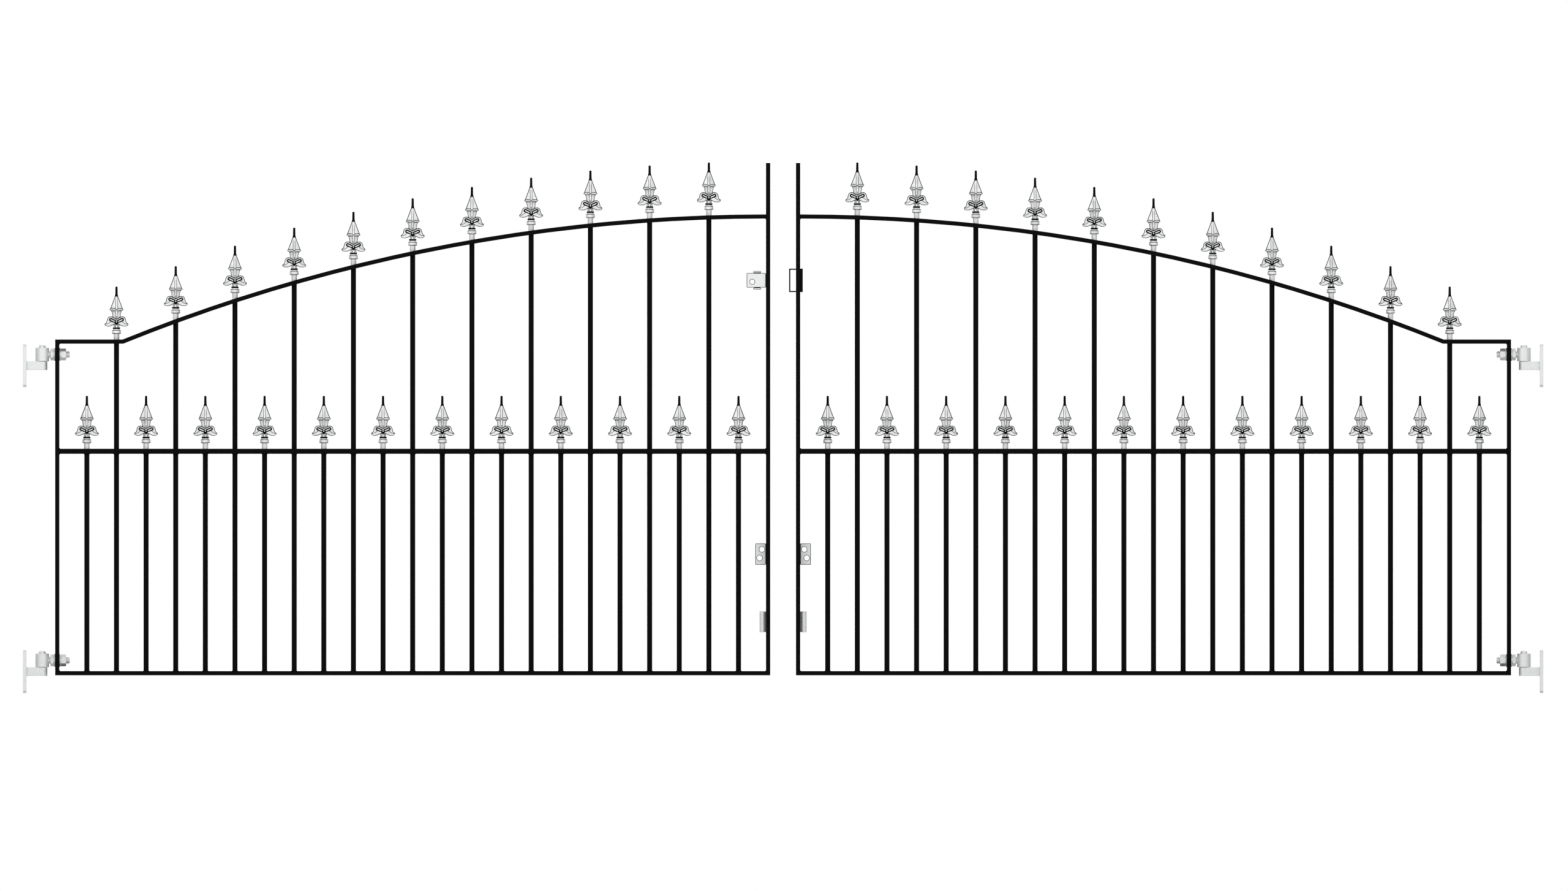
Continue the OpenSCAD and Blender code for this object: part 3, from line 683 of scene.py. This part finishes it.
# %% [markdown]
# Blade
#
# The spear blade has four flanks, a rib down its front and back, and a crosspiece like a small
# bevelled band, and it runs out in a needle point. A square on its corner, extruded up from ring to
# ring, has the flanks and the band. Bevelling the front and back ridges makes the flat rib. Then
# every flank is inset, which leaves a narrow black rim round a silvered field. The outer side of
# each field is drawn in a little more, because the silver is rubbed off most along the edges.

# %% Model the blade
BLADE_RINGS = [
    (45.0, 9.5), (56.0, 9.5), (63.3, 10.6), (66.9, 12.8), (69.4, 16.4), (71.9, 14.7), (88.2, 8.4),
    (100.0, 4.1), (105.4, 2.9), (122.0, 2.6), (123.4, 1.6),
]
BLADE_FOOT_Z = BLADE_RINGS[0][0]
FLANK_SLOPE = 0.54
RIB_OFFSET = 2.25
RIB_FOOT_Z = 56
BAND_Z = (66.9, 71.9)
POINT_Z = 100

bpy.ops.mesh.primitive_circle_add(vertices=4, radius=MM, fill_type="NGON")
blade = begin("finial_blade", *FINISH)
first_w = BLADE_RINGS[0][1]
bpy.ops.transform.resize(value=(first_w, first_w * FLANK_SLOPE, 1), center_override=(0, 0, 0))
bpy.ops.transform.translate(value=(0, 0, BLADE_FOOT_Z * MM))
raise_rings(BLADE_RINGS)
pick(blade, "EDGE", lambda e: all(
    abs(v.co.x) < TOLERANCE and v.co.z < POINT_Z * MM + TOLERANCE for v in e.verts))
bpy.ops.mesh.bevel(offset=RIB_OFFSET * MM, segments=1, clamp_overlap=False)
print("blade has", len(bmesh.from_edit_mesh(blade.data).faces), "faces before its fields")

# %% Wipe the fields of the blade silver
FLANK_PROUD = 0.3
FLANK_LEAN = 0.2
FLANK_RIM = 1.0
BAND_RIM = 0.55
WAIST_WORN = 0.4
BAND_WORN = 1.5
FLANK_WORN = 0.9
FIELD_SIDE = (0.1, 1.6)


def rim_faces(piece, wanted, rim, proud):
    """Insets a group of faces, leaves the rim round it black and sets the silvered middle proud of it."""
    pick(piece, "FACE", wanted)
    paint(piece, base_coat)
    bpy.ops.mesh.inset(thickness=rim * MM, depth=proud * MM, use_boundary=True, use_even_offset=True)
    paint(piece, silver_paint)


def height(face):
    """Height of the middle of a face in mm."""
    return face.calc_center_median().z / MM


def half_width(z):
    """Half the width of the blade at a height, both in mm."""
    for (z0, w0), (z1, w1) in zip(BLADE_RINGS, BLADE_RINGS[1:]):
        if z0 <= z <= z1:
            return w0 + (w1 - w0) * (z - z0) / (z1 - z0)
    return 0.0


def is_flank(face, across, deep):
    """Is this a face of the flank on that side of the blade, to the left or right and front or back?"""
    leans = face.normal.x * across > FLANK_LEAN and face.normal.y * deep > FLANK_LEAN
    return leans and face.calc_center_median().x * across > 0


def is_outer(point, across, deep):
    """Does a point lie on the outer side of a field, just inside the outline of the blade?"""
    inside = half_width(point.co.z / MM) - point.co.x * across / MM
    return point.co.y * deep > 0 and FIELD_SIDE[0] < inside < FIELD_SIDE[1]


# From and to in height, the width of the black rim, and how far the outer side is rubbed in
FIELDS = (
    (BLADE_FOOT_Z, BAND_Z[0], FLANK_RIM, WAIST_WORN),
    (BAND_Z[0], BAND_Z[1], BAND_RIM, BAND_WORN),
    (BAND_Z[1], POINT_Z, FLANK_RIM, FLANK_WORN),
)
for low, high, rim, worn in FIELDS:
    for across, deep in ((-1, -1), (-1, 1), (1, -1), (1, 1)):
        rim_faces(blade, lambda f: is_flank(f, across, deep) and low < height(f) < high, rim, FLANK_PROUD)
        pick(blade, "VERT", lambda v: low < v.co.z / MM < high and is_outer(v, across, deep))
        bpy.ops.transform.translate(value=Vector((-across, deep * FLANK_SLOPE, 0)) * worn * MM)
pick(blade, "FACE", lambda f: height(f) > POINT_Z)
paint(blade, base_coat)
print("fields of the blade:", 4 * len(FIELDS))

# %% Sink the hollows of the rib
RIB_GROOVE = 1.2
BAND_DOT = 1.1
RIB_LEAN = 0.1
# From and to in height, the width of the rim, and whether each face is sunk on its own
HOLLOWS = (
    (BLADE_FOOT_Z, RIB_FOOT_Z, RIB_GROOVE, True),
    (*BAND_Z, BAND_DOT, False),
)


def is_rib(face, deep):
    """Is this a face of the rib on the front or back of the blade?"""
    return abs(face.normal.x) < RIB_LEAN and face.normal.y * deep > EDGE_ON


for deep in (-1, 1):
    for low, high, groove, one_by_one in HOLLOWS:
        pick(blade, "FACE", lambda f: is_rib(f, deep) and low < height(f) < high)
        bpy.ops.mesh.inset(thickness=groove * MM, depth=-FLANK_PROUD * MM, use_individual=one_by_one)
        paint(blade, base_coat)
close(blade)

# %% [markdown]
# One casting
#
# A real finial is poured in one go. Its eight pieces overlap here and are joined into one object,
# which is all that the eye needs. A Boolean union would weld them for good, but it would leave long
# thin faces where they cross. Shading is smooth except over sharp angles, so edges stay crisp.

# %% Join the finial and look at its size
FINIAL_SMOOTH = math.radians(32)


def join(name, pieces):
    """Joins objects into the first of them and names the result."""
    bpy.ops.object.select_all(action="DESELECT")
    for piece in pieces:
        piece.select_set(True)
    bpy.context.view_layer.objects.active = pieces[0]
    bpy.ops.object.join()
    piece = bpy.context.object
    piece.name = name
    piece.data.name = name
    return piece


finial = join("spear_finial", [base, stem, leaves, folds, petals, knot, tail, blade])
bpy.ops.object.shade_smooth_by_angle(angle=FINIAL_SMOOTH)
print("one finial has", len(finial.data.polygons), "faces and measures",
      [round(v / MM, 1) for v in finial.dimensions], "mm")

# %% [markdown]
# Finials on the bars
#
# There is one finial on every bar: short bars end on the middle rail and long ones on the arch. The
# modelled finial is copied, each copy with a mesh of its own, and set where a ray that is dropped
# on the rail meets it. On the arch the rail slopes, so the neck is cut along the slope there.

# %% Place the finials
BESIDE_HOLE = 14
RAY_HEIGHT = 3000
CUT_SLACK = 0.001


def bar_places(side, bars, count):
    """The x of each bar of a set, in metres."""
    low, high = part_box(f"{side}_{bars}")
    bar_r = (high.y - low.y) / 2
    step = (high.x - low.x - 2 * bar_r) / (count - 1)
    return [low.x + bar_r + i * step for i in range(count)]


def copy_to(model, spot, turn=0):
    """A copy of an object with a mesh of its own, turned about its upright axis and moved to a spot."""
    copy = model.copy()
    copy.data = model.data.copy()
    copy.data.transform(Matrix.Translation(spot) @ Matrix.Rotation(math.radians(turn), 4, "Z"))
    bpy.context.scene.collection.objects.link(copy)
    return copy


def rail_under(rail, x):
    """Place and slope of the top of a rail at x, beside the hole that the bar comes through."""
    above = Vector((x, BESIDE_HOLE * MM, RAY_HEIGHT * MM))
    hit, spot, normal, _ = nodes[rail].ray_cast(above, Vector((0, 0, -1)))
    assert hit, rail
    return Vector((x, 0, spot.z)), normal


def set_of_finials(side, bars, rail, count):
    """Sets a finial over each bar of a set, cuts its neck along the rail and joins them all."""
    copies = []
    for x in bar_places(side, bars, count):
        foot, normal = rail_under(f"{side}_{rail}", x)
        copy = copy_to(finial, foot)
        bpy.ops.object.select_all(action="DESELECT")
        copy.select_set(True)
        bpy.context.view_layer.objects.active = copy
        bpy.ops.object.mode_set(mode="EDIT")
        bpy.ops.mesh.select_all(action="SELECT")
        bpy.ops.mesh.bisect(plane_co=foot, plane_no=normal, use_fill=True, clear_inner=True,
                            threshold=CUT_SLACK * MM)
        bpy.ops.object.mode_set(mode="OBJECT")
        copies.append(copy)
    piece = join(f"{side}_{bars[:-1]}_finial_castings", copies)
    bpy.ops.object.shade_smooth_by_angle(angle=FINIAL_SMOOTH)
    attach(piece, f"{side}_leaf")
    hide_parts(f"{side}_{bars[:-1]}_finials")
    print(piece.name, len(piece.data.polygons), "faces")


BAR_COUNTS = {"dog_bars": 12, "long_bars": 11}
for side in ("left", "right"):
    set_of_finials(side, "dog_bars", "middle_rail", BAR_COUNTS["dog_bars"])
    set_of_finials(side, "long_bars", "top_rail", BAR_COUNTS["long_bars"])
bpy.data.objects.remove(finial)

# %% [markdown]
# Threaded eye bolts
#
# Each leaf hangs by two eye bolts, and nuts on their threads set the leaf straight. The eye is one
# loop drawn round its section. A thread is a helix: the Screw modifier sweeps a small triangle
# along and round the shank at once, and its two open ends are then filled. Rings would look alike
# from afar, but a thread's ends and its slant give them away close up.

# %% Model the eye of a bolt
EYE_R = 16
EYE_H = 32
EYE_SIDES = 64
BORE_R = 8.1
EYE_ROUND = 1.2
EYE_TOP = EYE_H / 2
EYE_RINGS = [
    (EYE_ROUND - EYE_TOP, BORE_R), (EYE_TOP - EYE_ROUND, BORE_R), (EYE_TOP, BORE_R + EYE_ROUND),
    (EYE_TOP, EYE_R - EYE_ROUND), (EYE_TOP - EYE_ROUND, EYE_R), (EYE_ROUND - EYE_TOP, EYE_R),
    (-EYE_TOP, EYE_R - EYE_ROUND), (-EYE_TOP, BORE_R + EYE_ROUND), (EYE_ROUND - EYE_TOP, BORE_R),
]

bpy.ops.mesh.primitive_circle_add(vertices=EYE_SIDES, radius=BORE_R * MM, fill_type="NOTHING")
eye = begin("bolt_eye", zinc_plate)
bpy.ops.transform.translate(value=(0, 0, EYE_RINGS[0][0] * MM))
raise_rings(EYE_RINGS)
close(eye)

# %% Model the shank and its thread, and join the bolt
SHANK_R = 8
ROOT_R = 7
SHANK_SIDES = 32
SHANK_X = (13.5, 64)
END_CHAMFER = 1
PITCH = 2
THREAD_TURNS = 24
THREAD_STEPS = 24
THREAD_GAP = 0.1
THREAD_SUNK = 0.2
BOLT_SMOOTH = math.radians(35)

bpy.ops.mesh.primitive_circle_add(vertices=SHANK_SIDES, radius=ROOT_R * MM, fill_type="NGON")
shank = begin("bolt_shank", zinc_plate)
bpy.ops.transform.translate(value=(0, 0, SHANK_X[0] * MM))
shank_end = (SHANK_X[1], ROOT_R - END_CHAMFER)
raise_rings([(SHANK_X[0], ROOT_R), (SHANK_X[1] - END_CHAMFER, ROOT_R), shank_end])
close(shank)

bpy.ops.mesh.primitive_circle_add(vertices=3, radius=MM, fill_type="NOTHING")
thread = begin("bolt_thread", zinc_plate)
foot_r = ROOT_R - THREAD_SUNK
profile = ((foot_r, THREAD_GAP), (SHANK_R, PITCH / 2), (foot_r, PITCH - THREAD_GAP))
for corner, (across, along) in enumerate(profile):
    move_point(thread, corner, Vector((across, 0, SHANK_X[0] + along)) * MM)
close(thread)
apply(thread, "SCREW", screw_offset=PITCH * MM, iterations=THREAD_TURNS,
      steps=THREAD_STEPS, render_steps=THREAD_STEPS)
bpy.ops.object.mode_set(mode="EDIT")
bpy.ops.mesh.select_all(action="SELECT")
bpy.ops.mesh.fill_holes(sides=len(profile))
close(thread)
settle(shank, turn=(0, 90, 0))
settle(thread, turn=(0, 90, 0))
eye_bolt = join("eye_bolt", [eye, shank, thread])
bpy.ops.object.shade_smooth_by_angle(angle=BOLT_SMOOTH)
print("eye bolt measures", [round(v / MM, 1) for v in eye_bolt.dimensions], "mm")

# %% [markdown]
# Hexagon nuts
#
# The corners of a nut are turned off to a cone at both ends, which leaves the curved lines that
# make a nut look like one. That is done here as on a lathe: a hexagon bar is cut by Boolean to what
# lies inside a turned shape with both its ends chamfered.

# %% Model the nuts
NUT_FLATS = 24
NUT_FACE_R = 11.5
NUT_OUTER_R = 14
NUT_SIDES = 64
NUT_CHAMFER = 1.45
NUT_SMOOTH = math.radians(20)
# Thickness and place along the bolt in mm
NUTS = {"thin": (8, 23.0), "full": (13, 49.5)}


def hexagon_nut(name, thick):
    """A nut with its corners turned off, lying along the bolt."""
    bpy.ops.mesh.primitive_circle_add(vertices=NUT_SIDES, radius=NUT_FACE_R * MM, fill_type="NGON")
    turned = begin("turned_blank")
    bpy.ops.transform.translate(value=(0, 0, -thick / 2 * MM))
    raise_rings([
        (-thick / 2, NUT_FACE_R), (NUT_CHAMFER - thick / 2, NUT_OUTER_R),
        (thick / 2 - NUT_CHAMFER, NUT_OUTER_R), (thick / 2, NUT_FACE_R),
    ])
    close(turned)
    corner_r = NUT_FLATS / math.sqrt(3)
    bpy.ops.mesh.primitive_cylinder_add(vertices=6, radius=corner_r * MM, depth=thick * MM)
    nut = bpy.context.object
    nut.name = name
    nut.data.materials.append(zinc_plate)
    settle(nut, turn=(0, 0, 30))
    apply(nut, "BOOLEAN", operation="INTERSECT", object=turned, solver="EXACT")
    bpy.data.objects.remove(turned)
    settle(nut, turn=(0, 90, 0))
    bpy.ops.object.shade_smooth_by_angle(angle=NUT_SMOOTH)
    print(name, len(nut.data.polygons), "faces")
    return nut


nut_models = {name: hexagon_nut(f"{name}_nut", thick) for name, (thick, _) in NUTS.items()}

# %% [markdown]
# Hanging the leaves
#
# The eyes drop over pins on the wall plates, one above the other, so that a leaf turns about them.
# Each bolt and nut is a copy of one model, put where the solid model has its plain stand-in. The
# right leaf's are turned half round. Bolts and nuts ride on the leaf, because they swing with it.

# %% Hang the leaves on their eye bolts
for side, inward, turn in (("left", 1, 0), ("right", -1, 180)):
    nuts = []
    for level in ("upper", "lower"):
        low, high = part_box(f"{side}_{level}_hinge_eye")
        outer_x = low.x if side == "left" else high.x
        centre = Vector((outer_x + inward * EYE_R * MM, 0, (low.z + high.z) / 2))
        bolt = copy_to(eye_bolt, centre, turn)
        bolt.name = bolt.data.name = f"{side}_{level}_threaded_eye_bolt"
        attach(bolt, f"{side}_leaf")
        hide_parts(f"{side}_{level}_hinge_eye")
        for name, (_, along) in NUTS.items():
            nuts.append(copy_to(nut_models[name], centre + Vector((inward * along, 0, 0)) * MM, turn))
    piece = join(f"{side}_hexagon_nuts", nuts)
    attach(piece, f"{side}_leaf")
    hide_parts(f"{side}_hinge_nuts")
    print(side, "leaf hangs on two bolts with", len(nuts), "nuts")
for model in (eye_bolt, *nut_models.values()):
    bpy.data.objects.remove(model)

# %% [markdown]
# Weld beads
#
# Bars stand on the bottom rail and pass the middle rail, and where they touch a rail a weld runs
# round them. The rails are welded to the stiles along their whole depth. Under the coat a weld
# still shows as a low, lumpy bead. One ring and one straight bead are modelled, made uneven by
# moving their points at random, and copied to all the joints.

# %% Model the beads
BEAD_R = 1.1
BEAD_OUT = 0.2
BEAD_STEPS = 30
BEAD_SIDES = 8
BEAD_LUMPS = 0.3
BAR_R = 6
SEAM_R = 1.5
SEAM_SIDES = 10
SEAM_LENGTH = 38
SEAM_CUTS = 18
SEAM_LUMPS = 0.35

bpy.ops.mesh.primitive_torus_add(major_radius=(BAR_R + BEAD_OUT) * MM, minor_radius=BEAD_R * MM,
                                 major_segments=BEAD_STEPS, minor_segments=BEAD_SIDES)
ring_bead = begin("ring_bead", powder_coat)
bpy.ops.transform.vertex_random(offset=BEAD_LUMPS * MM, uniform=0.4, normal=0.6, seed=5)
close(ring_bead)
bpy.ops.object.shade_smooth()

bpy.ops.mesh.primitive_cylinder_add(vertices=SEAM_SIDES, radius=SEAM_R * MM, depth=SEAM_LENGTH * MM)
seam_bead = bpy.context.object
settle(seam_bead, turn=(90, 0, 0))
begin("seam_bead", powder_coat)
pick(seam_bead, "EDGE", lambda e: abs(e.verts[0].co.y - e.verts[1].co.y) > MM)
bpy.ops.mesh.subdivide(number_cuts=SEAM_CUTS)
bpy.ops.mesh.select_all(action="SELECT")
bpy.ops.transform.vertex_random(offset=SEAM_LUMPS * MM, uniform=0.4, normal=0.6, seed=9)
close(seam_bead)
bpy.ops.object.shade_smooth()

# %% [markdown]
# Where the welds run
#
# Rings go round every bar on the bottom rail and under the middle rail. Straight beads go where a
# rail meets a stile: over the bottom rail, on both sides of the middle rail, and under the top rail.
# Every place is read from the solid parts. The rings of each bar are turned further than those of the
# bar before, so that neighbours don't look alike.

# %% Run the beads along the joints
RAIL_T = 10
BEAD_TURN = 47

for side in ("left", "right"):
    bottom_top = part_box(f"{side}_bottom_rail")[1].z
    middle_low, middle_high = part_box(f"{side}_middle_rail")
    beads = []
    for bars, count in BAR_COUNTS.items():
        for x in bar_places(side, bars, count):
            turn = BEAD_TURN * len(beads)
            beads += [copy_to(ring_bead, Vector((x, 0, z)), turn) for z in (bottom_top, middle_low.z)]
    hanging_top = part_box(f"{side}_hanging_stile")[1].z
    meeting_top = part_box(f"{side}_top_rail")[1].z - RAIL_T * MM
    tops = (hanging_top, meeting_top) if side == "left" else (meeting_top, hanging_top)
    for x, top in zip((middle_low.x, middle_high.x), tops):
        for z in (bottom_top, middle_low.z, middle_high.z, top):
            beads.append(copy_to(seam_bead, Vector((x, 0, z))))
    piece = join(f"{side}_weld_beads", beads)
    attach(piece, f"{side}_leaf")
    print(piece.name, len(beads), "beads", len(piece.data.polygons), "faces")
for model in (ring_bead, seam_bead):
    bpy.data.objects.remove(model)

# %% [markdown]
# Finishes of the solid parts
#
# The rest of the gates keeps its solid shape. Every part gets its real finish in place of the plain
# colour it came with. Rolled bar and pressed plate have no razor edges, so a Bevel modifier takes
# the edges off stiles, straight rails, plates and fittings. The solid meshes are loose triangles:
# Weld joins them, and a planar Decimate clears the flat sides, so that Bevel finds clean edges. On
# the lock and the drop bolt fittings the bevelled edges are rubbed down to the black.

# %% Give the solid parts their finishes
FINISH_OF_SLOT = {
    "black_powder_coat": powder_coat,
    "silver_casting": silver_paint,
    "zinc_plate": zinc_plate,
}

for node in nodes.values():
    for slot in node.material_slots:
        finish = FINISH_OF_SLOT.get(slot.material.name)
        if finish:
            slot.material = finish
print("finished", len(nodes), "solid parts")

# %% Take the edges off the solid parts
THIN_EDGE = 0.5
PLATE_EDGE = 0.6
HOLD_EDGE = 1.2
LOCK_EDGE = 1.3
WELD_GAP = 0.005
FLAT_ANGLE = math.radians(1)
EDGE_ANGLE = math.radians(40)


def soften(name, width, rubbed=None):
    """Takes that many mm off the edges of a solid part, in a material of their own where one is given."""
    node = nodes[name]
    weld = node.modifiers.new("weld_triangles", "WELD")
    weld.merge_threshold = WELD_GAP * MM
    planar = node.modifiers.new("clear_flats", "DECIMATE")
    planar.decimate_type = "DISSOLVE"
    planar.angle_limit = FLAT_ANGLE
    bevel = node.modifiers.new("soft_edges", "BEVEL")
    bevel.width = width * MM
    bevel.segments = 1
    bevel.use_clamp_overlap = False
    bevel.loop_slide = False
    bevel.limit_method = "ANGLE"
    bevel.angle_limit = EDGE_ANGLE
    if rubbed:
        node.data.materials.append(rubbed)
        bevel.material = len(node.data.materials) - 1
    shading = node.modifiers.new("even_shading", "WEIGHTED_NORMAL")
    shading.keep_sharp = True


for side in ("left", "right"):
    for part in ("hanging_stile", "meeting_stile", "bottom_rail", "middle_rail"):
        soften(f"{side}_{part}", THIN_EDGE)
    soften(f"{side}_drop_bolt_guide", THIN_EDGE, base_coat)
    soften(f"{side}_drop_bolt_hold_plate", HOLD_EDGE, base_coat)
    for part in ("upper_wall_plate", "lower_wall_plate", "hinge_washers"):
        soften(f"{side}_{part}", PLATE_EDGE)
for part in ("left_lock_case", "left_lock_lugs"):
    soften(part, LOCK_EDGE, base_coat)
for part in ("right_lock_keep", "right_keep_backing"):
    soften(part, THIN_EDGE)
print("edges taken off", sum(bool(node.modifiers) for node in nodes.values()), "solid parts")
